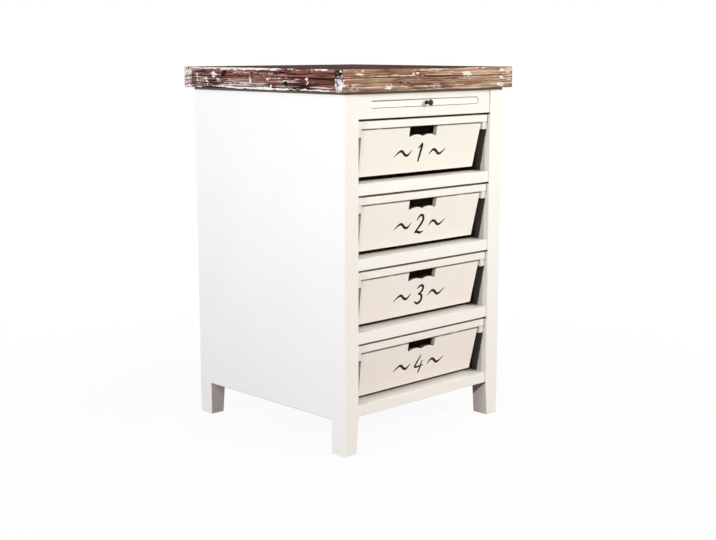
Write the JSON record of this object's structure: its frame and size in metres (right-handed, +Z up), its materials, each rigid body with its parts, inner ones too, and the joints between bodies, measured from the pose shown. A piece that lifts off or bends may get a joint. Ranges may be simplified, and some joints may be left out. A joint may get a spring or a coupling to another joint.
{
  "type": "kitchen drawer unit",
  "caption": "Free-standing painted kitchen unit with a rustic plank worktop, a pull-out work board under it and crate-like drawers that hang on runners.",
  "frame": {"origin": "on the floor under the middle of the unit", "axes": "+Z up, -Y out of the drawer side (the front), +X to the right seen from the front"},
  "size_m": [0.52, 0.52, 0.8],
  "materials": {
    "cream_paint": "satin cream paint, brushed",
    "drawer_paint": "satin cream paint, brushed",
    "aged_wood": "rough boards with worn white paint",
    "plain_wood": "bare wood",
    "dark_iron": "dark patinated",
    "screw_steel": "zinc plated",
    "glide_plastic": "matt"
  },
  "bodies": {
    "cabinet": {"worktop_plank_1": "aged_wood", "worktop_plank_2": "aged_wood", "worktop_plank_3": "aged_wood", "worktop_front_edge": "aged_wood", "worktop_rear_edge": "aged_wood", "worktop_left_edge": "aged_wood", "worktop_right_edge": "aged_wood", "worktop_apron": "aged_wood", "worktop_battens": "plain_wood", "worktop_base": "aged_wood", "long_screws": "screw_steel", "front_left_post": "cream_paint", "front_right_post": "cream_paint", "rear_left_post": "cream_paint", "rear_right_post": "cream_paint", "left_side_panel": "cream_paint", "right_side_panel": "cream_paint", "back_panel": "plain_wood", "back_panel_screws": "screw_steel", "bottom_panel": "plain_wood", "top_front_rail": "cream_paint", "front_rail_1": "cream_paint", "front_rail_2": "cream_paint", "front_rail_3": "cream_paint", "front_rail_4": "cream_paint", "top_rear_rail": "cream_paint", "bottom_rear_rail": "cream_paint", "frame_dowels": "plain_wood", "board_guide_left": "plain_wood", "board_guide_right": "plain_wood", "left_runners": "cream_paint", "right_runners": "cream_paint", "floor_glides": "glide_plastic"},
    "board": {"pull_out_board": "cream_paint", "board_stop": "plain_wood", "board_knob": "dark_iron"},
    "drawer_1": {"drawer_1_front": "drawer_paint", "drawer_1_back": "drawer_paint", "drawer_1_left_side": "drawer_paint", "drawer_1_right_side": "drawer_paint", "drawer_1_bottom": "plain_wood", "drawer_1_rim": "drawer_paint"},
    "drawer_2": {"drawer_2_front": "drawer_paint", "drawer_2_back": "drawer_paint", "drawer_2_left_side": "drawer_paint", "drawer_2_right_side": "drawer_paint", "drawer_2_bottom": "plain_wood", "drawer_2_rim": "drawer_paint"},
    "drawer_3": {"drawer_3_front": "drawer_paint", "drawer_3_back": "drawer_paint", "drawer_3_left_side": "drawer_paint", "drawer_3_right_side": "drawer_paint", "drawer_3_bottom": "plain_wood", "drawer_3_rim": "drawer_paint"},
    "drawer_4": {"drawer_4_front": "drawer_paint", "drawer_4_back": "drawer_paint", "drawer_4_left_side": "drawer_paint", "drawer_4_right_side": "drawer_paint", "drawer_4_bottom": "plain_wood", "drawer_4_rim": "drawer_paint"}
  },
  "joints": [
    {"name": "board_slide", "type": "slide", "parent": "cabinet", "child": "board", "axis": [0, -1, 0], "range_m": [0, 0.25]},
    {"name": "drawer_1_slide", "type": "slide", "parent": "cabinet", "child": "drawer_1", "axis": [0, -1, 0], "range_m": [0, 0.3]},
    {"name": "drawer_2_slide", "type": "slide", "parent": "cabinet", "child": "drawer_2", "axis": [0, -1, 0], "range_m": [0, 0.3]},
    {"name": "drawer_3_slide", "type": "slide", "parent": "cabinet", "child": "drawer_3", "axis": [0, -1, 0], "range_m": [0, 0.3]},
    {"name": "drawer_4_slide", "type": "slide", "parent": "cabinet", "child": "drawer_4", "axis": [0, -1, 0], "range_m": [0, 0.3]}
  ]
}
